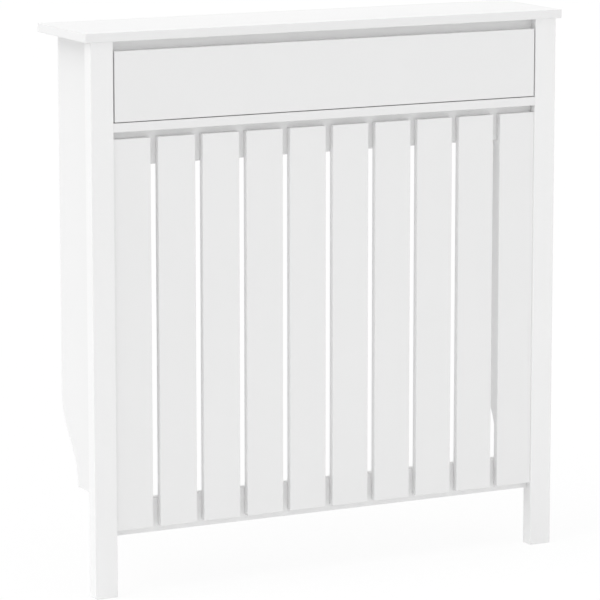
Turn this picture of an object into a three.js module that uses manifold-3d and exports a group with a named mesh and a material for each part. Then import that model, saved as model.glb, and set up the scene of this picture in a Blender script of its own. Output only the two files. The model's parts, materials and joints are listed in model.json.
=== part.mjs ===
// Radiator cover cabinet: a slatted front between two posts, one wide drawer on roller
// runners above it, and side panels cut back at the foot to clear a skirting board.
// Millimetres. X runs to the right, Y towards the wall, Z up from the floor.
import * as THREE from 'three';
import { mergeVertices } from 'three/addons/utils/BufferGeometryUtils.js';
import Module from 'manifold-3d';

const wasm = await Module();
wasm.setup();

// ---------------------------------------------------------------- driving dimensions
// Whole cabinet, taken over the top board.
const overallWidth = 900;
const overallDepth = 200;
const overallHeight = 950;
const boardThickness = 15; // top board, shelf, rails, side panels and drawer front
const easedEdge = 0.4; // small chamfer on every arris of the painted boards

// Posts and side panels.
const sideOverhang = 10; // top board past the posts, left and right
const frontOverhang = 3; // top board past the front of the posts
const postWidth = 40;
const postDepth = 25;
const panelWallGap = 3; // from the panels' rear edge to the wall
const panelBottom = 165; // the panels stop this far above the floor
const skirtingReach = 65; // how far the foot of a panel is cut back from its rear edge
const skirtingStep = 3; // straight part of the cut below its curve
const ogeeRise = 150; // height of the curve
const ogeeFullness = 0.48; // how far the curve holds to the vertical at each end, of its rise

// Slatted front.
const slatWidth = 67.5;
const slatThickness = 12;
const slatSetback = 3; // slats lie behind the front of the posts
const slatGapWanted = 13.5; // the real gap shares out what is left of the width
const railHeight = 58;
const railFloorClearance = 102; // air inlet under the lower rail
const upperReveal = 12; // rail showing above the slats
const lowerReveal = 11; // rail showing below the slats

// Drawer.
const fingerGap = 16.5; // above the drawer front, to pull it by
const drawerFrontHeight = 117;
const drawerFloorGap = 1.5;
const drawerSideGap = 2.5;
const topRailHeight = 35;
const drawerHeadroom = 14; // under the rail behind the finger gap
const drawerLift = 6; // drawer sides above the shelf
const drawerSideThickness = 12;
const drawerBaseThickness = 3;
const grooveDepth = 6;
const grooveUp = 8; // groove above the lower edge of the drawer sides

// Roller runners.
const runnerSpace = 12.5; // beside the drawer box, left and right
const runnerLength = 150;
const runnerSteel = 1.2;
const runnerLift = 3; // channel above the shelf
const runnerSetback = 2; // channel behind the back of the drawer front
const channelWidth = 10;
const memberFlange = 9; // running flange of the drawer member
const rollerRadius = 8;
const rollerWidth = 7;
const rollerInset = 11; // roller centre from the end of its member
const rollerRim = 0.6; // chamfer on the rim of a roller
const flangeClear = 0.5; // rear roller under its own flange
const channelHeadroom = 0.8; // flange under the roof of the channel
const axleRadius = 2.5;
const axleHeadRadius = 4.5;
const axleHeadThickness = 1.2;

// Hidden fixings.
const dowelRadius = 3;
const dowelLength = 30;
const dowelChamfer = 0.8;
const camRadius = 7.3;
const camHeight = 12;
const camSetback = 24; // cam centre from the joint
const camSlotWidth = 7.4;
const camRecess = 1.6; // depth of the cross for the screwdriver
const camCrossLength = 9;
const camCrossWidth = 1.8;
const camCrossInset = 0.8; // end of the cross from the rim of the cam
const boltAnchor = 11; // part of a cam bolt that is screwed into the other board
const boltRadius = 2.5;
const boltNeckRadius = 1.8;
const boltHeadRadius = 3.2;
const boltHeadThickness = 3;
const boltHoleRadius = 4;
const camFromRear = 40; // cam joints in front of the panels' rear edge

// Wall brackets.
const bracketSpacing = 500;
const bracketWidth = 40;
const bracketDepth = 35;
const bracketDrop = 40;
const bracketSteel = 2;
const bracketBend = 4; // outer radius of the bend
const bracketHolePitch = 20;
const screwRadius = 2;
const screwLength = 12;
const screwHeadRadius = 4.2;
const screwCrownRadius = 3; // flat middle of the rounded head
const screwHeadHeight = 2.4;

// Clearances.
const seatGap = 0.3; // a round or loose piece in its seat
const rollPlay = 0.2; // roller to the track it rolls on
const rollerSideGap = 0.4; // roller to the web that carries it

// Modelling: how finely curves are divided, and how far a cut passes the face it opens.
const pinSegments = 16;
const wheelSegments = 24;
const camSegments = 20;
const bendSegments = 5;
const ogeeSegments = 28;
const overcut = 1;
const weldTolerance = 1e-4;

// ---------------------------------------------------------------- places worked out
const underTop = overallHeight - boardThickness;
const postOuter = overallWidth / 2 - sideOverhang;
const inner = postOuter - postWidth; // half of the clear width between the posts
const wallPlane = overallDepth - frontOverhang;
const panelRear = wallPlane - panelWallGap;
const drawerTop = underTop - fingerGap;
const drawerBottom = drawerTop - drawerFrontHeight;
const shelfTop = drawerBottom - drawerFloorGap;
const shelfBottom = shelfTop - boardThickness;
const railFront = slatSetback + slatThickness;
const slatTop = shelfBottom - upperReveal;
const slatBottom = railFloorClearance + lowerReveal;
const topRailBottom = underTop - topRailHeight;
const camJointY = panelRear - camFromRear;

const boxOuter = inner - runnerSpace; // half of the drawer box
const boxFront = boardThickness;
const boxBack = boxFront + runnerLength;
const boxBottom = shelfTop + drawerLift;
const boxTop = topRailBottom - drawerHeadroom;
const baseUnderside = boxBottom + grooveUp;
const grooveHeight = drawerBaseThickness + seatGap;

const channelBottom = shelfTop + runnerLift;
const channelFront = boxFront + runnerSetback;
const channelFloor = channelBottom + runnerSteel;
const rearRollerZ = channelFloor + rollPlay + rollerRadius;
const flangeUnder = rearRollerZ + rollerRadius + flangeClear;
const frontRollerZ = flangeUnder - rollPlay - rollerRadius;
const flangeTop = flangeUnder + runnerSteel;
const channelTop = flangeTop + channelHeadroom + runnerSteel;

const sides = [
  { name: 'left', sign: -1 },
  { name: 'right', sign: 1 },
];

// ---------------------------------------------------------------- finishes
function finish(color, roughness, metalness = 0) {
  return new THREE.MeshStandardMaterial({ color, roughness, metalness });
}
const whitePost = finish(0xeeeeee, 0.45);
const whiteBoard = finish(0xe9e9e9, 0.45);
const whiteHardboard = finish(0xe2e2e0, 0.55);
const coatedSteel = finish(0xdedfdf, 0.4, 0.1);
const zincSteel = finish(0xb9bcbf, 0.35, 0.9);
const nylon = finish(0xd8d8d4, 0.5);
const beech = finish(0xcba876, 0.7);

// ---------------------------------------------------------------- shared operations
// A placed, named piece.
function piece(name, geometry, material, x = 0, y = 0, z = 0) {
  const mesh = new THREE.Mesh(geometry, material);
  mesh.name = name;
  mesh.position.set(x, y, z);
  return mesh;
}

// Sawn board with eased edges, centred in X and Y, standing on its own Z = 0.
function board(width, depth, height) {
  const x = width / 2;
  const y = depth / 2;
  const e = easedEdge;
  const outline = new THREE.Shape();
  outline.moveTo(e - x, -y);
  outline.lineTo(x - e, -y);
  outline.lineTo(x, e - y);
  outline.lineTo(x, y - e);
  outline.lineTo(x - e, y);
  outline.lineTo(e - x, y);
  outline.lineTo(-x, y - e);
  outline.lineTo(-x, e - y);
  outline.closePath();
  return easedExtrude(outline, height);
}

// Outline extruded along Z, with the arrises of both end faces eased.
function easedExtrude(outline, height, curveSegments = 1) {
  const geometry = new THREE.ExtrudeGeometry(outline, {
    depth: height - 2 * easedEdge,
    bevelThickness: easedEdge,
    bevelSize: easedEdge,
    bevelOffset: -easedEdge,
    bevelSegments: 1,
    curveSegments,
  });
  return geometry.translate(0, 0, easedEdge);
}

// Turns a shape drawn in its own X and Y into cabinet Y and Z, extruded along X.
function profileAlongX(geometry) {
  const basis = new THREE.Matrix4();
  basis.makeBasis(
    new THREE.Vector3(0, 1, 0),
    new THREE.Vector3(0, 0, 1),
    new THREE.Vector3(1, 0, 0),
  );
  return geometry.applyMatrix4(basis);
}

// Turns a shape drawn in its own X and Y into cabinet X and Z, extruded towards the wall.
function profileAlongY(geometry) {
  const basis = new THREE.Matrix4();
  basis.makeBasis(
    new THREE.Vector3(-1, 0, 0),
    new THREE.Vector3(0, 0, 1),
    new THREE.Vector3(0, 1, 0),
  );
  return geometry.applyMatrix4(basis);
}

// Plain extrusion of a closed list of corners.
function extrudeCorners(corners, length) {
  const outline = new THREE.Shape(corners.map(([x, y]) => new THREE.Vector2(x, y)));
  return new THREE.ExtrudeGeometry(outline, { depth: length, bevelEnabled: false });
}

// Solid of revolution about X. Each pair gives a place along X and a radius there.
function turned(pairs, segments = pinSegments) {
  const points = pairs.map(([along, radius]) => new THREE.Vector2(radius, along));
  return new THREE.LatheGeometry(points, segments).rotateZ(-Math.PI / 2);
}

// Round bar along X from start to end, used for pins and for the holes that take them.
function bar(start, end, radius) {
  return turned([[start, 0], [start, radius], [end, radius], [end, 0]]);
}

function toSolid(geometry) {
  const bare = geometry.clone();
  bare.deleteAttribute('normal');
  bare.deleteAttribute('uv');
  const merged = mergeVertices(bare, weldTolerance);
  return new wasm.Manifold(new wasm.Mesh({
    numProp: 3,
    vertProperties: new Float32Array(merged.attributes.position.array),
    triVerts: new Uint32Array(merged.index.array),
  }));
}

function toGeometry(solid) {
  const mesh = solid.getMesh();
  const geometry = new THREE.BufferGeometry();
  geometry.setAttribute('position', new THREE.BufferAttribute(mesh.vertProperties, 3));
  geometry.setIndex(new THREE.BufferAttribute(mesh.triVerts, 1));
  geometry.computeVertexNormals();
  return geometry;
}

// Cuts tools, which are given in the frame of the group that holds the piece, out of it.
function cut(mesh, tools) {
  mesh.updateMatrix();
  const toPiece = mesh.matrix.clone().invert();
  let solid = toSolid(mesh.geometry);
  for (const tool of tools) {
    solid = solid.subtract(toSolid(tool.clone().applyMatrix4(toPiece)));
  }
  mesh.geometry = toGeometry(solid);
}

// ---------------------------------------------------------------- hidden fixings
// Pin with both ends chamfered, half in each of two boards that meet at x, and its hole.
function dowel(name, x, y, z) {
  const half = dowelLength / 2;
  const taper = dowelRadius - dowelChamfer;
  const geometry = turned([
    [-half, 0],
    [-half, taper],
    [dowelChamfer - half, dowelRadius],
    [half - dowelChamfer, dowelRadius],
    [half, taper],
    [half, 0],
  ]);
  const reach = half + seatGap;
  return {
    pin: piece(name, geometry, beech, x, y, z),
    hole: bar(-reach, reach, dowelRadius + seatGap).translate(x, y, z),
  };
}

// Disc with a slot for the bolt's head, open towards the joint, and a cross in its face.
// It lies about Z, with the slot towards -X.
function camGeometry() {
  const halfSlot = camSlotWidth / 2;
  const slotAngle = Math.asin(halfSlot / camRadius);
  const outline = new THREE.Shape();
  outline.moveTo(boltHeadThickness / 2 + seatGap, -halfSlot);
  outline.lineTo(boltHeadThickness / 2 + seatGap, halfSlot);
  outline.lineTo(-camRadius * Math.cos(slotAngle), halfSlot);
  outline.absarc(0, 0, camRadius, Math.PI - slotAngle, slotAngle - Math.PI, true);
  outline.closePath();
  const disc = new THREE.ExtrudeGeometry(outline, {
    depth: camHeight,
    bevelEnabled: false,
    curveSegments: camSegments,
  });
  const crossZ = camHeight - camRecess / 2;
  const cross = [
    new THREE.BoxGeometry(camCrossLength, camCrossWidth, camRecess),
    new THREE.BoxGeometry(camCrossWidth, camCrossLength, camRecess),
  ];
  const holder = piece('cam', disc, zincSteel);
  const crossX = camRadius - camCrossLength / 2 - camCrossInset;
  cut(holder, cross.map((arm) => arm.translate(crossX, 0, crossZ)));
  return holder.geometry;
}

// Bolt along X: its anchor lies below X = 0, its head at the centre of the cam.
function camBoltGeometry() {
  const headStart = camSetback - boltHeadThickness / 2;
  const neckStart = headStart - boltHeadThickness;
  return turned([
    [-boltAnchor, 0],
    [-boltAnchor, boltRadius],
    [neckStart, boltRadius],
    [neckStart, boltNeckRadius],
    [headStart, boltNeckRadius],
    [headStart, boltHeadRadius],
    [headStart + boltHeadThickness, boltHeadRadius],
    [headStart + boltHeadThickness, 0],
  ]);
}

// Cam joint where a bolt crosses from one board into the edge of another. at is where the
// bolt's axis crosses the joint, along points into the board that holds the cam, and face
// points from the axis to the face that the cam is let in from.
function camJoint(name, at, along, face) {
  const place = new THREE.Matrix4();
  place.makeBasis(along, new THREE.Vector3().crossVectors(face, along), face);
  place.setPosition(at);
  const faceAbove = boardThickness / 2;
  const cam = piece(`${name}_cam`, camGeometry(), zincSteel);
  const seat = new THREE.Matrix4();
  seat.makeTranslation(camSetback, 0, faceAbove - camHeight);
  cam.applyMatrix4(seat.premultiply(place));
  const bolt = piece(`${name}_cam_bolt`, camBoltGeometry(), zincSteel);
  bolt.applyMatrix4(place);

  const pocketRadius = camRadius + seatGap;
  const pocketDepth = camHeight + seatGap;
  const pocket = new THREE.CylinderGeometry(
    pocketRadius,
    pocketRadius,
    pocketDepth + overcut,
    wheelSegments,
  );
  pocket.rotateX(Math.PI / 2);
  pocket.translate(camSetback, 0, faceAbove + (overcut - pocketDepth) / 2);
  const boltHole = bar(-overcut, camSetback, boltHoleRadius);
  const anchorHole = bar(-boltAnchor - seatGap, overcut, boltRadius + seatGap);
  return {
    cam,
    bolt,
    boardCuts: [pocket.applyMatrix4(place), boltHole.applyMatrix4(place)],
    anchorHole: anchorHole.applyMatrix4(place),
  };
}

// ---------------------------------------------------------------- carcass
// Side panel: a board whose lower rear corner is taken out along an ogee.
function sidePanelGeometry() {
  const front = postDepth;
  const foot = panelRear - skirtingReach;
  const curveLow = panelBottom + skirtingStep;
  const curveHigh = curveLow + ogeeRise;
  const hold = ogeeRise * ogeeFullness;
  const outline = new THREE.Shape();
  outline.moveTo(front, panelBottom);
  outline.lineTo(foot, panelBottom);
  outline.lineTo(foot, curveLow);
  outline.bezierCurveTo(foot, curveLow + hold, panelRear, curveHigh - hold, panelRear, curveHigh);
  outline.lineTo(panelRear, underTop);
  outline.lineTo(front, underTop);
  outline.closePath();
  return profileAlongX(easedExtrude(outline, boardThickness, ogeeSegments));
}

function carcass() {
  const group = new THREE.Group();
  const topBoard = piece(
    'top_board',
    board(overallWidth, overallDepth, boardThickness),
    whiteBoard,
    0,
    overallDepth / 2 - frontOverhang,
    underTop,
  );
  const shelf = piece(
    'drawer_shelf',
    board(2 * inner, panelRear, boardThickness),
    whiteBoard,
    0,
    panelRear / 2,
    shelfBottom,
  );
  const topRail = rail('drawer_top_rail', boxFront, topRailBottom, topRailHeight);
  const upperRail = rail('upper_slat_rail', railFront, shelfBottom - railHeight, railHeight);
  const lowerRail = rail('lower_slat_rail', railFront, railFloorClearance, railHeight);
  group.add(topBoard, shelf, topRail, upperRail, lowerRail);

  for (const { name, sign } of sides) {
    const post = piece(
      `${name}_post`,
      board(postWidth, postDepth, underTop),
      whitePost,
      sign * (inner + postWidth / 2),
      postDepth / 2,
      0,
    );
    const panelX = sign > 0 ? inner : -inner - boardThickness;
    const panel = piece(`${name}_side_panel`, sidePanelGeometry(), whiteBoard, panelX);

    const jointX = sign * inner;
    const dowels = [
      [topRail, 'top_rail', (boxFront + postDepth) / 2, topRailBottom + topRailHeight / 2],
      [shelf, 'shelf', postDepth / 2, shelfTop - boardThickness / 2],
      [upperRail, 'upper_rail', (railFront + postDepth) / 2, shelfBottom - railHeight / 2],
      [lowerRail, 'lower_rail', (railFront + postDepth) / 2, railFloorClearance + railHeight / 2],
    ];
    for (const [into, label, y, z] of dowels) {
      const { pin, hole } = dowel(`${name}_${label}_dowel`, jointX, y, z);
      cut(into, [hole]);
      cut(post, [hole]);
      group.add(pin);
    }

    // The shelf's cams are let in from below, those of the top board from inside the cabinet.
    const shelfJoint = camJoint(
      `${name}_shelf`,
      new THREE.Vector3(jointX, camJointY, shelfTop - boardThickness / 2),
      new THREE.Vector3(-sign, 0, 0),
      new THREE.Vector3(0, 0, -1),
    );
    const topJoint = camJoint(
      `${name}_top`,
      new THREE.Vector3(panelX + boardThickness / 2, camJointY, underTop),
      new THREE.Vector3(0, 0, -1),
      new THREE.Vector3(-sign, 0, 0),
    );
    cut(shelf, shelfJoint.boardCuts);
    cut(panel, [...topJoint.boardCuts, shelfJoint.anchorHole]);
    cut(topBoard, [topJoint.anchorHole]);
    group.add(post, panel, shelfJoint.cam, shelfJoint.bolt, topJoint.cam, topJoint.bolt);

    const { bracket, screws, pilots } = wallBracket(name, (sign * bracketSpacing) / 2);
    cut(topBoard, pilots);
    group.add(bracket, ...screws);
  }
  return group;
}

// Rail across the cabinet between the posts.
function rail(name, front, bottom, height) {
  const geometry = board(2 * inner, boardThickness, height);
  return piece(name, geometry, whiteBoard, 0, front + boardThickness / 2, bottom);
}

// ---------------------------------------------------------------- wall brackets
// Bent steel angle under the top board, with two holes in each leg.
function wallBracket(name, x) {
  const innerBend = bracketBend - bracketSteel;
  const low = underTop - bracketDrop;
  const outline = new THREE.Shape();
  outline.moveTo(wallPlane, low);
  outline.lineTo(wallPlane, underTop - bracketBend);
  outline.absarc(wallPlane - bracketBend, underTop - bracketBend, bracketBend, 0, Math.PI / 2, false);
  outline.lineTo(wallPlane - bracketDepth, underTop);
  outline.lineTo(wallPlane - bracketDepth, underTop - bracketSteel);
  outline.lineTo(wallPlane - bracketBend, underTop - bracketSteel);
  outline.absarc(wallPlane - bracketBend, underTop - bracketBend, innerBend, Math.PI / 2, 0, true);
  outline.lineTo(wallPlane - bracketSteel, low);
  outline.closePath();
  const angle = new THREE.ExtrudeGeometry(outline, {
    depth: bracketWidth,
    bevelEnabled: false,
    curveSegments: bendSegments,
  });
  const bracket = piece(`${name}_wall_bracket`, profileAlongX(angle), zincSteel, x - bracketWidth / 2);

  const holeRadius = screwRadius + 2 * seatGap;
  const screwY = wallPlane - (bracketDepth + bracketBend) / 2;
  const wallHoleZ = underTop - (bracketDrop + bracketBend) / 2;
  const pilotDepth = screwLength + screwRadius - bracketSteel + seatGap;
  const screws = [];
  const pilots = [];
  for (const offset of [-bracketHolePitch / 2, bracketHolePitch / 2]) {
    const upright = bar(-overcut, bracketSteel + overcut, holeRadius).rotateY(-Math.PI / 2);
    upright.translate(x + offset, screwY, underTop - bracketSteel);
    const level = bar(-overcut, bracketSteel + overcut, holeRadius).rotateZ(Math.PI / 2);
    level.translate(x + offset, wallPlane - bracketSteel, wallHoleZ);
    cut(bracket, [upright, level]);
    const end = (offset < 0) === (x < 0) ? 'outer' : 'inner';
    const screw = piece(
      `${name}_bracket_${end}_screw`,
      screwGeometry(),
      zincSteel,
      x + offset,
      screwY,
      underTop - bracketSteel,
    );
    screws.push(screw);
    const pilot = bar(-overcut, pilotDepth, screwRadius + seatGap).rotateY(-Math.PI / 2);
    pilots.push(pilot.translate(x + offset, screwY, underTop));
  }
  return { bracket, screws, pilots };
}

// Pan-head screw pointing up, its head under Z = 0.
function screwGeometry() {
  const domeStart = screwHeadHeight / 2;
  const profile = turned([
    [-screwHeadHeight, 0],
    [-screwHeadHeight, screwCrownRadius],
    [-domeStart, screwHeadRadius],
    [0, screwHeadRadius],
    [0, screwRadius],
    [screwLength, screwRadius],
    [screwLength + screwRadius, 0],
  ]);
  return profile.rotateY(-Math.PI / 2);
}

// ---------------------------------------------------------------- slatted front
// As many slats as fit beside each other, with the spare width shared among their gaps.
function slattedFront() {
  const group = new THREE.Group();
  const clear = 2 * inner;
  const count = Math.floor((clear + slatGapWanted) / (slatWidth + slatGapWanted));
  const gap = (clear - count * slatWidth) / (count - 1);
  for (let i = 0; i < count; i += 1) {
    const x = i * (slatWidth + gap) + slatWidth / 2 - inner;
    const number = String(i + 1).padStart(2, '0');
    const geometry = board(slatWidth, slatThickness, slatTop - slatBottom);
    const y = slatSetback + slatThickness / 2;
    group.add(piece(`slat_${number}`, geometry, whiteBoard, x, y, slatBottom));
  }
  return group;
}

// ---------------------------------------------------------------- drawer
function drawer() {
  const group = new THREE.Group();
  const sideCentre = boxOuter - drawerSideThickness / 2;
  const boxInner = boxOuter - drawerSideThickness;
  const baseHalf = boxInner + grooveDepth - seatGap;
  const baseFront = boxFront - grooveDepth + seatGap;

  const front = piece(
    'drawer_front',
    board(2 * (inner - drawerSideGap), boardThickness, drawerFrontHeight),
    whiteBoard,
    0,
    boardThickness / 2,
    drawerBottom,
  );
  const grooveZ = baseUnderside + grooveHeight / 2;
  const grooveSpan = grooveDepth + overcut;
  const frontGroove = new THREE.BoxGeometry(2 * (baseHalf + seatGap), grooveSpan, grooveHeight);
  frontGroove.translate(0, boxFront + overcut - grooveSpan / 2, grooveZ);
  cut(front, [frontGroove]);

  const backBottom = baseUnderside + grooveHeight;
  const back = piece(
    'drawer_back',
    board(2 * boxInner, drawerSideThickness, boxTop - backBottom),
    whiteBoard,
    0,
    boxBack - drawerSideThickness / 2,
    backBottom,
  );
  const base = piece(
    'drawer_base',
    new THREE.BoxGeometry(2 * baseHalf, boxBack - baseFront, drawerBaseThickness),
    whiteHardboard,
    0,
    (boxBack + baseFront) / 2,
    baseUnderside + drawerBaseThickness / 2,
  );
  group.add(front, back, base);

  for (const { name, sign } of sides) {
    const side = piece(
      `drawer_${name}_side`,
      board(drawerSideThickness, runnerLength, boxTop - boxBottom),
      whiteBoard,
      sign * sideCentre,
      boxFront + runnerLength / 2,
      boxBottom,
    );
    const groove = new THREE.BoxGeometry(grooveSpan, runnerLength + 2 * overcut, grooveHeight);
    const grooveX = boxInner - overcut + grooveSpan / 2;
    groove.translate(sign * grooveX, boxFront + runnerLength / 2, grooveZ);
    cut(side, [groove]);
    group.add(side);
  }
  return group;
}

// ---------------------------------------------------------------- roller runners
// Nylon wheel about X, centred on its own width, with a bore for its axle.
function rollerGeometry() {
  const half = rollerWidth / 2;
  const bore = axleRadius + seatGap;
  return turned([
    [-half, bore],
    [-half, rollerRadius - rollerRim],
    [rollerRim - half, rollerRadius],
    [half - rollerRim, rollerRadius],
    [half, rollerRadius - rollerRim],
    [half, bore],
    [-half, bore],
  ], wheelSegments);
}

// Rivet about X that carries a roller: its shank starts at X = 0 in the web.
function axleGeometry() {
  const shank = runnerSteel + rollerSideGap + rollerWidth + seatGap;
  return turned([
    [0, 0],
    [0, axleRadius],
    [shank, axleRadius],
    [shank, axleHeadRadius],
    [shank + axleHeadThickness, axleHeadRadius - axleHeadThickness / 2],
    [shank + axleHeadThickness, 0],
  ]);
}

// Roller on its rivet, reaching along X from the back of its web, to the left or right.
function rollerOnAxle(name, webX, towards, y, z) {
  const rollerX = webX + towards * (runnerSteel + rollerSideGap + rollerWidth / 2);
  const roller = piece(`${name}_roller`, rollerGeometry(), nylon, rollerX, y, z);
  const axle = piece(`${name}_axle`, axleGeometry(), zincSteel, webX, y, z);
  if (towards < 0) {
    axle.rotation.z = Math.PI;
  }
  const hole = bar(-overcut, runnerSteel + overcut, axleRadius + seatGap / 2);
  if (towards < 0) {
    hole.rotateZ(Math.PI);
  }
  return { roller, axle, hole: hole.translate(webX, y, z) };
}

// Fixed channel on the side of the cabinet, with its roller at the front.
function cabinetRunner(name, sign) {
  const height = channelTop - channelBottom;
  const t = runnerSteel;
  const w = channelWidth;
  const corners = [[0, 0], [w, 0], [w, t], [t, t], [t, height - t], [w, height - t]];
  corners.push([w, height], [0, height]);
  const geometry = profileAlongY(extrudeCorners(corners, runnerLength));
  const channel = piece(`${name}_cabinet_runner`, geometry, coatedSteel);
  channel.position.set(sign * inner, channelFront, channelBottom);
  if (sign < 0) {
    channel.rotation.z = Math.PI;
    channel.position.y = channelFront + runnerLength;
  }
  const y = channelFront + rollerInset;
  const parts = rollerOnAxle(`${name}_cabinet`, sign * inner, -sign, y, frontRollerZ);
  cut(channel, [parts.hole]);
  return [channel, parts.roller, parts.axle];
}

// Moving member on the drawer: a foot under the drawer side, a web beside it and a flange
// that runs on the cabinet's roller, with the member's own roller at the rear.
function drawerRunner(name, sign) {
  const t = runnerSteel;
  const foot = drawerSideThickness;
  const low = boxBottom - t;
  const height = flangeTop - low;
  const flange = memberFlange;
  const corners = [[0, 0], [foot + t, 0], [foot + t, t], [t, t], [t, height], [t - flange, height]];
  corners.push([t - flange, height - t], [0, height - t]);
  const geometry = profileAlongY(extrudeCorners(corners, runnerLength));
  const member = piece(`${name}_drawer_runner`, geometry, coatedSteel);
  member.position.set(sign * (boxOuter + t), boxFront, low);
  if (sign < 0) {
    member.rotation.z = Math.PI;
    member.position.y = boxFront + runnerLength;
  }
  const y = boxBack - rollerInset;
  const parts = rollerOnAxle(`${name}_drawer`, sign * boxOuter, sign, y, rearRollerZ);
  cut(member, [parts.hole]);
  return [member, parts.roller, parts.axle];
}

function runners() {
  const group = new THREE.Group();
  for (const { name, sign } of sides) {
    group.add(...cabinetRunner(name, sign));
    group.add(...drawerRunner(name, sign));
  }
  return group;
}

// ---------------------------------------------------------------- assembly
// The frame's origin is on the floor, in the middle of the top board's outline.
const cabinet = new THREE.Group();
cabinet.add(carcass(), slattedFront(), drawer(), runners());
cabinet.position.y = frontOverhang - overallDepth / 2;

export default cabinet;
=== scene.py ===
"""Looks of a white radiator cover cabinet with a slatted front and one wide drawer.

Everything is in metres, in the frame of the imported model: X to the right, Y towards the
wall, Z up from the floor.
"""
import json
import math

import bmesh
import bpy
from mathutils import Matrix, Vector


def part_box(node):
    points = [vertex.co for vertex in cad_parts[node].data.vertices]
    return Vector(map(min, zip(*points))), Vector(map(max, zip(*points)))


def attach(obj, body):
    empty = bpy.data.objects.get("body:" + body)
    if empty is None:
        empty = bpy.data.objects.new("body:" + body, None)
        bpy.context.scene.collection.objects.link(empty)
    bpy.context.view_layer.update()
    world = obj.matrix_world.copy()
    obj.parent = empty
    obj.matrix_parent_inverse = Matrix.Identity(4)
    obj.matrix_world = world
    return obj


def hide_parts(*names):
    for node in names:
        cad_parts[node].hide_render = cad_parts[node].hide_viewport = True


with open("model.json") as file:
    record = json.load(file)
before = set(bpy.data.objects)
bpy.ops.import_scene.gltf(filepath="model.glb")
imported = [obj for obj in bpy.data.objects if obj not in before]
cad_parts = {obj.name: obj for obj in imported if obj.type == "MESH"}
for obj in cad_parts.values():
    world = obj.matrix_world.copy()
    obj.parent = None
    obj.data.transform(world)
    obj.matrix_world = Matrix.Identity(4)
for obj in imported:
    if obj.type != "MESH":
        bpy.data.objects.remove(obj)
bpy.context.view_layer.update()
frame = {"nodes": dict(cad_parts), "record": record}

MM = 0.001
WHITE = (1, 1, 1, 1)
SIDES = (("left", -1), ("right", 1))  # each with the sign of its X

# ---------------------------------------------------------------- camera
# Found from the edges of the cabinet in the 600 x 600 photograph.
CAMERA_PLACE = (-2.8185, -5.5441, 1.5711)
CAMERA_YAW = 26.882  # degrees turned from +Y towards +X
CAMERA_PITCH = 10.142  # degrees below the horizon
CAMERA_ROLL = 0.02  # degrees
CAMERA_REACH = 200  # the farthest that it shows
SENSOR = 36.0  # mm
FOCAL_PIXELS = 3657.7
PHOTO_PIXELS = 600

# ---------------------------------------------------------------- light
# The room is brighter in front of the cabinet than behind it.
ROOM_LEVEL = 0.652
ROOM_FRONT = 0.283  # more than the level straight in front, and less than it straight behind
# Broad soft lights high on the left and overhead, so that the left faces and the top are the
# paler ones. Each has where it shines from and its strength.
LIGHTS = {
    "left_light": ((-1.0, 0.0, 1.0), 1.113),
    "top_light": ((0.0, 0.0, 1.0), 0.684),
}
LIGHT_BREADTH = 50  # degrees across
LIGHT_DISTANCE = 5  # clear of the cabinet; lights of this kind shine the same from anywhere
FLOOR_SIZE = 60.0
FLOOR_COLOUR = (0.93, 0.93, 0.93, 1)
FLOOR_WHITE_SHARE = 0.9  # of what the camera sees; the rest is the lit floor and its shadow

# ---------------------------------------------------------------- finishes
NOISE_LOW, NOISE_HIGH = 0.3, 0.7  # nearly all of a noise lies between these
EDGE_SAMPLES = 4  # rays that feel for an edge to round
BUMP_STRENGTH = 0.35

# ---------------------------------------------------------------- small screws
# Sizes in mm. A head is turned about Z and stands on Z = 0, which is the face it sits on. The
# shank of a whole screw has its radius and its length.
RAIL_HEAD = {"radius": 3.5, "rim": 0.15, "height": 0.9, "recess": 0.75}
MEMBER_HEAD = {"radius": 3.2, "rim": 0.7, "height": 1.5, "recess": 1.0}
CHANNEL_HEAD = {"radius": 3.2, "rim": 0.1, "height": 0.25, "recess": 0.22}
BRACKET_SCREW = {"radius": 4.2, "rim": 0.8, "height": 2.4, "recess": 1.5, "shank": (2.0, 14.0)}
HEAD_STEPS = 28  # corners round a head
HEAD_BURIED = 0.4  # of a head below the face, so that no gap shows under it
BURIED_SHARE = 0.8  # radius of that buried end, of the head's own
DOME_DEGREES = (20, 40, 60, 75)  # where the dome has its rings, from its rim upwards
SHARP_DEGREES = 32  # edges that turn by more than this are shaded as sharp
RECESS_LENGTH = 3.6  # of the cross for the screwdriver
RECESS_WIDTH = 0.85
RECESS_TAPER = 0.6  # size of the cross at its bottom, of that at its top
RECESS_OVERCUT = 1.0  # how far the tool that cuts it stands out of the head
SCREW_TURN = 37  # degrees from one head's cross to the next
SHEET_STEEL = 1.2  # thickness of the runners
CHANNEL_SCREWS = (0.29, 0.57, 0.85)  # places along a runner, of its length
MEMBER_SCREWS = (0.17, 0.5, 0.83)
BACK_SCREWS = (0.25, 0.75)  # places up the drawer's back, of its height


# ---------------------------------------------------------------- nodes of a material
def emptied(owner):
    """The node tree of a material or world, with nothing in it."""
    owner.use_nodes = True
    owner.node_tree.nodes.clear()
    return owner.node_tree


def feed(tree, socket, value):
    """Links a socket to another one, or sets it to a plain value."""
    if isinstance(value, bpy.types.NodeSocket):
        tree.links.new(value, socket)
    else:
        socket.default_value = value


def add(tree, kind, **inputs):
    """A new node, with its inputs set or linked by name."""
    node = tree.nodes.new(kind)
    for name, value in inputs.items():
        feed(tree, node.inputs[name.replace("_", " ")], value)
    return node


def reckoned(tree, operation, *values):
    """What a math operation makes of its values."""
    node = tree.nodes.new("ShaderNodeMath")
    node.operation = operation
    for socket, value in zip(node.inputs, values):
        feed(tree, socket, value)
    return node.outputs[0]


def mixed(tree, share, first, second):
    """Two shaders mixed. The share is that of the second."""
    mix = add(tree, "ShaderNodeMixShader", Fac=share)
    tree.links.new(first.outputs[0], mix.inputs[1])
    tree.links.new(second.outputs[0], mix.inputs[2])
    return mix.outputs[0]


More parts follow.
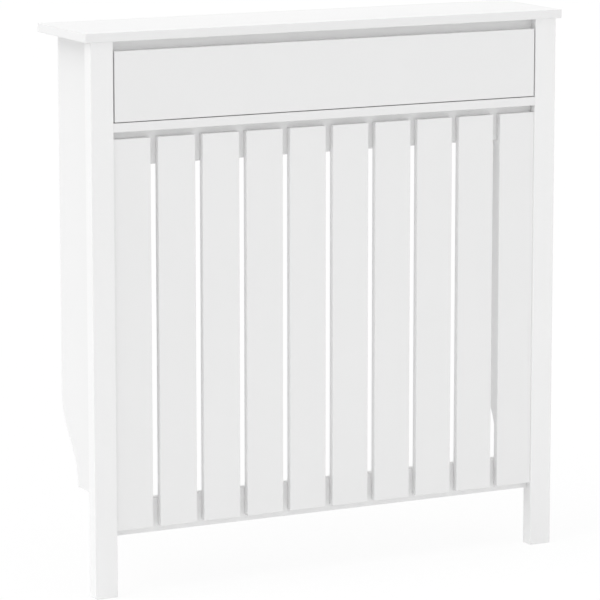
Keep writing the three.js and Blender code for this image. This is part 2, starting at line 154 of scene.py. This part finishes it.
def noise(tree, place, scale, detail):
    """A soft cloudy value."""
    return add(tree, "ShaderNodeTexNoise", Vector=place, Scale=scale, Detail=detail).outputs["Fac"]


def spread(tree, value, low, high):
    """A noise, spread over another range."""
    node = add(
        tree,
        "ShaderNodeMapRange",
        Value=value,
        From_Min=NOISE_LOW,
        From_Max=NOISE_HIGH,
        To_Min=low,
        To_Max=high,
    )
    return node.outputs[0]


def stretched(tree, place, scale):
    """The place, scaled by its own amount along each axis."""
    return add(tree, "ShaderNodeMapping", Vector=place, Scale=scale).outputs[0]


def tinted(tree, colour, strength):
    """A colour that a value makes a little paler or darker."""
    node = tree.nodes.new("ShaderNodeVectorMath")
    node.operation = "SCALE"
    feed(tree, node.inputs[0], colour)
    feed(tree, node.inputs["Scale"], strength)
    return node.outputs[0]


def rough_normal(tree, height, depth, edge_radius):
    """A fine bump, on edges that are rounded by a small radius."""
    rounded = add(tree, "ShaderNodeBevel", Radius=edge_radius)
    rounded.samples = EDGE_SAMPLES
    bump = add(
        tree,
        "ShaderNodeBump",
        Strength=BUMP_STRENGTH,
        Distance=depth,
        Height=height,
        Normal=rounded.outputs[0],
    )
    return bump.outputs[0]


# ---------------------------------------------------------------- camera, floor, light
def in_scene(name, data):
    """A new object of the scene."""
    obj = bpy.data.objects.new(name, data)
    bpy.context.scene.collection.objects.link(obj)
    return obj


def make_camera():
    """The view of the photograph."""
    data = bpy.data.cameras.new("camera")
    data.sensor_width = SENSOR
    data.lens = FOCAL_PIXELS / PHOTO_PIXELS * SENSOR
    data.clip_end = CAMERA_REACH
    camera = in_scene("camera", data)
    camera.location = CAMERA_PLACE
    camera.rotation_euler = (
        math.radians(90 - CAMERA_PITCH),
        math.radians(CAMERA_ROLL),
        -math.radians(CAMERA_YAW),
    )
    bpy.context.scene.camera = camera


def shown_white(tree):
    """1 for rays that show the background: from the camera, in gloss or through glass."""
    path = add(tree, "ShaderNodeLightPath").outputs
    seen = reckoned(tree, "MAXIMUM", path["Is Camera Ray"], path["Is Glossy Ray"])
    return reckoned(tree, "MAXIMUM", seen, path["Is Transmission Ray"])


def make_world():
    """A white background, which lights the cabinet as a room would."""
    world = bpy.data.worlds.new("studio")
    bpy.context.scene.world = world
    tree = emptied(world)
    towards = add(tree, "ShaderNodeTexCoord").outputs["Generated"]
    axes = add(tree, "ShaderNodeSeparateXYZ", Vector=towards).outputs
    level = reckoned(tree, "MULTIPLY_ADD", axes["Y"], -ROOM_FRONT, ROOM_LEVEL)
    room = add(tree, "ShaderNodeBackground", Color=WHITE, Strength=level)
    white = add(tree, "ShaderNodeBackground", Color=WHITE, Strength=1.0)
    add(tree, "ShaderNodeOutputWorld", Surface=mixed(tree, shown_white(tree), room, white))


def make_floor():
    """A pale floor that is nearly as white as the background and keeps a faint shadow."""
    mesh = bpy.data.meshes.new("floor")
    half = FLOOR_SIZE / 2
    corners = [(-half, -half, 0), (half, -half, 0), (half, half, 0), (-half, half, 0)]
    mesh.from_pydata(corners, [], [(0, 1, 2, 3)])
    floor = in_scene("floor", mesh)
    material = bpy.data.materials.new("pale_floor")
    tree = emptied(material)
    lit = add(tree, "ShaderNodeBsdfDiffuse", Color=FLOOR_COLOUR)
    white = add(tree, "ShaderNodeEmission", Color=WHITE, Strength=1.0)
    share = reckoned(tree, "MULTIPLY", shown_white(tree), FLOOR_WHITE_SHARE)
    add(tree, "ShaderNodeOutputMaterial", Surface=mixed(tree, share, lit, white))
    mesh.materials.append(material)


def make_lights():
    """The broad soft lights."""
    for name, (shines_from, strength) in LIGHTS.items():
        data = bpy.data.lights.new(name, "SUN")
        data.energy = strength
        data.angle = math.radians(LIGHT_BREADTH)
        lamp = in_scene(name, data)
        lamp.location = LIGHT_DISTANCE * Vector(shines_from)
        lamp.rotation_euler = (-Vector(shines_from)).to_track_quat("-Z", "Y").to_euler()


# ---------------------------------------------------------------- finishes
def started(name):
    """A new material, its node tree, and there each point's place on the object."""
    material = bpy.data.materials.new(name)
    tree = emptied(material)
    return material, tree, add(tree, "ShaderNodeTexCoord").outputs["Object"]


def surfaced(material, tree, **inputs):
    """The material, with a shader that has these inputs."""
    shader = add(tree, "ShaderNodeBsdfPrincipled", **inputs)
    add(tree, "ShaderNodeOutputMaterial", Surface=shader.outputs[0])
    return material


def lacquer(name, colour):
    """Sprayed satin lacquer: faint orange peel, a slow unevenness of tone and gloss."""
    material, tree, place = started(name)
    cloud = noise(tree, place, scale=9.0, detail=3.0)
    peel = noise(tree, place, scale=420.0, detail=2.0)
    return surfaced(
        material,
        tree,
        IOR=1.48,
        Base_Color=tinted(tree, colour, spread(tree, cloud, low=0.995, high=1.003)),
        Roughness=spread(tree, cloud, low=0.38, high=0.46),
        Normal=rough_normal(tree, peel, depth=0.05 * MM, edge_radius=0.4 * MM),
    )


def hardboard(name, colour):
    """Thin board with a printed white face: dull, with the faint mesh mark of its pressing."""
    material, tree, place = started(name)
    cloud = noise(tree, place, scale=40.0, detail=4.0)
    mesh_mark = add(tree, "ShaderNodeTexVoronoi", Vector=place, Scale=900.0).outputs["Distance"]
    return surfaced(
        material,
        tree,
        IOR=1.45,
        Base_Color=tinted(tree, colour, spread(tree, cloud, low=0.97, high=1.01)),
        Roughness=spread(tree, cloud, low=0.52, high=0.64),
        Normal=rough_normal(tree, mesh_mark, depth=0.05 * MM, edge_radius=0.3 * MM),
    )


def coated_steel(name, colour):
    """White epoxy coat on folded sheet: glossier than the lacquer, with a soft pebbling."""
    material, tree, place = started(name)
    pebble = noise(tree, place, scale=650.0, detail=1.5)
    cloud = noise(tree, place, scale=25.0, detail=2.0)
    return surfaced(
        material,
        tree,
        IOR=1.5,
        Base_Color=tinted(tree, colour, spread(tree, cloud, low=0.98, high=1.01)),
        Roughness=spread(tree, cloud, low=0.26, high=0.34),
        Normal=rough_normal(tree, pebble, depth=0.05 * MM, edge_radius=0.35 * MM),
    )


def zinc_plate(name, colour):
    """Bright zinc plate: grey metal with a blotchy cast, brushed along by handling."""
    material, tree, place = started(name)
    blotch = noise(tree, place, scale=180.0, detail=3.0)
    brushed = stretched(tree, place, scale=(60.0, 1200.0, 1200.0))
    scratch = noise(tree, brushed, scale=1.0, detail=2.0)
    return surfaced(
        material,
        tree,
        Metallic=1.0,
        Base_Color=tinted(tree, colour, spread(tree, blotch, low=0.88, high=1.06)),
        Roughness=spread(tree, blotch, low=0.27, high=0.42),
        Normal=rough_normal(tree, scratch, depth=0.02 * MM, edge_radius=0.25 * MM),
    )


def nylon(name, colour):
    """Moulded natural nylon: waxy white, slightly clouded."""
    material, tree, place = started(name)
    cloud = noise(tree, place, scale=220.0, detail=2.0)
    return surfaced(
        material,
        tree,
        IOR=1.53,
        Base_Color=tinted(tree, colour, spread(tree, cloud, low=0.95, high=1.02)),
        Roughness=spread(tree, cloud, low=0.38, high=0.5),
        Normal=rough_normal(tree, cloud, depth=0.03 * MM, edge_radius=0.3 * MM),
        Subsurface_Weight=0.15,
        Subsurface_Scale=1.5 * MM,
    )


def beech(name, pale, dark):
    """Plain beech pin: grain and short dark rays along its length."""
    material, tree, place = started(name)
    lengthwise = stretched(tree, place, scale=(60.0, 900.0, 900.0))
    grain = noise(tree, lengthwise, scale=1.0, detail=4.0)
    tint = add(tree, "ShaderNodeValToRGB", Fac=spread(tree, grain, low=0.0, high=1.0))
    tint.color_ramp.elements[0].color = (*pale, 1)
    tint.color_ramp.elements[1].color = (*dark, 1)
    return surfaced(
        material,
        tree,
        IOR=1.45,
        Base_Color=tint.outputs["Color"],
        Roughness=0.62,
        Normal=rough_normal(tree, grain, depth=0.06 * MM, edge_radius=0.3 * MM),
    )


FINISHES = {
    "white_post": lacquer("white_post_lacquer", (0.86, 0.86, 0.86)),
    "white_board": lacquer("white_board_lacquer", (0.82, 0.82, 0.82)),
    "white_hardboard": hardboard("white_faced_hardboard", (0.77, 0.77, 0.76)),
    "coated_steel": coated_steel("white_coated_steel", (0.76, 0.76, 0.76)),
    "zinc_steel": zinc_plate("zinc_plated_steel", (0.60, 0.61, 0.62)),
    "nylon": nylon("natural_nylon", (0.74, 0.74, 0.71)),
    "beech": beech("plain_beech", (0.66, 0.46, 0.26), (0.50, 0.32, 0.16)),
}


def finish_nodes():
    """Gives each solid the finish of its slot in the record."""
    slot_of = {row["node"]: row["material_slot"] for row in frame["record"]["subparts"]}
    for name, obj in frame["nodes"].items():
        for slot in obj.material_slots:
            slot.material = FINISHES[slot_of[name]]


# ---------------------------------------------------------------- screw heads
def as_mesh(name, shape):
    """The shape as a mesh. The shape is used up."""
    mesh = bpy.data.meshes.new(name)
    shape.to_mesh(mesh)
    shape.free()
    return mesh


def turned_mesh(profile):
    """Closed solid of revolution about Z. Each pair gives a height and a radius there, in mm."""
    shape = bmesh.new()
    rings = []
    for height, radius in profile:
        if radius == 0:
            rings.append([shape.verts.new((0, 0, height * MM))])
            continue
        ring = []
        for step in range(HEAD_STEPS):
            angle = 2 * math.pi * step / HEAD_STEPS
            x = radius * math.cos(angle) * MM
            y = radius * math.sin(angle) * MM
            ring.append(shape.verts.new((x, y, height * MM)))
        rings.append(ring)
    for low, high in zip(rings, rings[1:]):
        for step in range(HEAD_STEPS):
            corners = [low[step % len(low)], low[(step + 1) % len(low)]]
            corners += [high[(step + 1) % len(high)], high[step % len(high)]]
            shape.faces.new(list(dict.fromkeys(corners)))
    bmesh.ops.recalc_face_normals(shape, faces=shape.faces)
    return as_mesh("turned", shape)


def cross_mesh(bottom, top):
    """The two arms of a screwdriver's cross, narrower at the bottom, in mm."""
    shape = bmesh.new()
    for turn in (0, 90):
        arm = bmesh.ops.create_cube(shape, size=1.0)["verts"]
        for vertex in arm:
            at_top = vertex.co.z > 0
            taper = 1.0 if at_top else RECESS_TAPER
            vertex.co.x *= RECESS_LENGTH * taper * MM
            vertex.co.y *= RECESS_WIDTH * taper * MM
            vertex.co.z = (top if at_top else bottom) * MM
        bmesh.ops.rotate(shape, verts=arm, matrix=Matrix.Rotation(math.radians(turn), 3, "Z"))
    return as_mesh("cross", shape)


def cut_mesh(mesh, tool_mesh):
    """The first mesh with the second cut out of it."""
    solid = in_scene("solid", mesh)
    tool = in_scene("tool", tool_mesh)
    modifier = solid.modifiers.new("cut", "BOOLEAN")
    modifier.operation = "DIFFERENCE"
    modifier.solver = "EXACT"
    modifier.use_self = True
    modifier.object = tool
    bpy.context.view_layer.update()
    graph = bpy.context.evaluated_depsgraph_get()
    result = bpy.data.meshes.new_from_object(solid.evaluated_get(graph))
    for obj in (solid, tool):
        bpy.data.objects.remove(obj)
    return result


def head_mesh(radius, rim, height, recess, shank=None):
    """Rounded screw head on Z = 0 with a cross recess in its crown.

    A shank has a radius and a length. Without one, only the head is made.
    """
    dome = height - rim
    if shank:
        shank_radius, length = shank
        tip = length - shank_radius
        profile = [(-length, 0), (-tip, shank_radius), (0, shank_radius), (0, radius)]
    else:
        profile = [(-HEAD_BURIED, 0), (-HEAD_BURIED, radius * BURIED_SHARE), (0, radius)]
    profile.append((rim, radius))
    for degrees in DOME_DEGREES:
        angle = math.radians(degrees)
        profile.append((rim + dome * math.sin(angle), radius * math.cos(angle)))
    profile.append((height, 0))
    cross = cross_mesh(height - recess, height + RECESS_OVERCUT)
    return cut_mesh(turned_mesh(profile), cross)


def screw_heads(name, head, places, outwards, body):
    """One piece with a head at each place, all standing out of the same kind of face."""
    template = head_mesh(**head)
    stand = Vector(outwards).to_track_quat("Z", "Y").to_matrix().to_4x4()
    shape = bmesh.new()
    for number, place in enumerate(places):
        turn = Matrix.Rotation(math.radians(SCREW_TURN * number), 4, "Z")
        copy = template.copy()
        copy.transform(Matrix.Translation(place) @ stand @ turn)
        shape.from_mesh(copy)
        bpy.data.meshes.remove(copy)
    mesh = as_mesh(name, shape)
    mesh.polygons.foreach_set("use_smooth", [True] * len(mesh.polygons))
    mesh.set_sharp_from_angle(angle=math.radians(SHARP_DEGREES))
    mesh.materials.append(FINISHES["zinc_steel"])
    piece = in_scene(name, mesh)
    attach(piece, body)
    return piece


def middle(low, high):
    return (low + high) / 2


def part_way(low, high, share):
    return low + share * (high - low)


def outer_face(low, high, sign):
    """X of the face that looks away from the middle of the cabinet."""
    return high.x if sign > 0 else low.x


def rail_screws():
    """One screw through the back of each slat rail into every slat."""
    slats = [name for name in sorted(frame["nodes"]) if name.startswith("slat_")]
    for rail in ("upper_slat_rail", "lower_slat_rail"):
        low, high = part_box(rail)
        places = []
        for slat in slats:
            left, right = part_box(slat)
            places.append((middle(left.x, right.x), high.y, middle(low.z, high.z)))
        screw_heads(f"{rail}_screws", RAIL_HEAD, places, (0, 1, 0), "cabinet")


def runner_screws():
    """Flush screws in the channels, and rounded ones under the drawer's own members."""
    for side, sign in SIDES:
        low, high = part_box(f"{side}_cabinet_runner")
        web = outer_face(low, high, sign) - sign * SHEET_STEEL * MM
        places = []
        for share in CHANNEL_SCREWS:
            places.append((web, part_way(low.y, high.y, share), middle(low.z, high.z)))
        name = f"{side}_cabinet_runner_screws"
        screw_heads(name, CHANNEL_HEAD, places, (-sign, 0, 0), "cabinet")

        low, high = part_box(f"{side}_drawer_runner")
        side_low, side_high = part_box(f"drawer_{side}_side")
        under = middle(side_low.x, side_high.x)
        places = [(under, part_way(low.y, high.y, share), low.z) for share in MEMBER_SCREWS]
        name = f"{side}_drawer_runner_screws"
        screw_heads(name, MEMBER_HEAD, places, (0, 0, -1), "drawer")


def drawer_screws():
    """Two screws through each side of the drawer into the end of its back."""
    back_low, back_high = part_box("drawer_back")
    back_middle = middle(back_low.y, back_high.y)
    for side, sign in SIDES:
        low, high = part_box(f"drawer_{side}_side")
        face = outer_face(low, high, sign)
        places = []
        for share in BACK_SCREWS:
            places.append((face, back_middle, part_way(back_low.z, back_high.z, share)))
        screw_heads(f"drawer_{side}_side_screws", RAIL_HEAD, places, (sign, 0, 0), "drawer")


def bracket_screws():
    """The screws that hold the brackets, with the cross recess that their solids lack."""
    for side, _ in SIDES:
        for which in ("outer", "inner"):
            node = f"{side}_bracket_{which}_screw"
            low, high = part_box(node)
            seat = low.z + BRACKET_SCREW["height"] * MM
            places = [(middle(low.x, high.x), middle(low.y, high.y), seat)]
            piece = screw_heads(f"{node}_crossed", BRACKET_SCREW, places, (0, 0, -1), "cabinet")
            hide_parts(node)


# ---------------------------------------------------------------- the scene
make_camera()
make_world()
make_floor()
make_lights()
finish_nodes()
rail_screws()
runner_screws()
drawer_screws()
bracket_screws()

bpy.context.scene.view_settings.view_transform = "Standard"
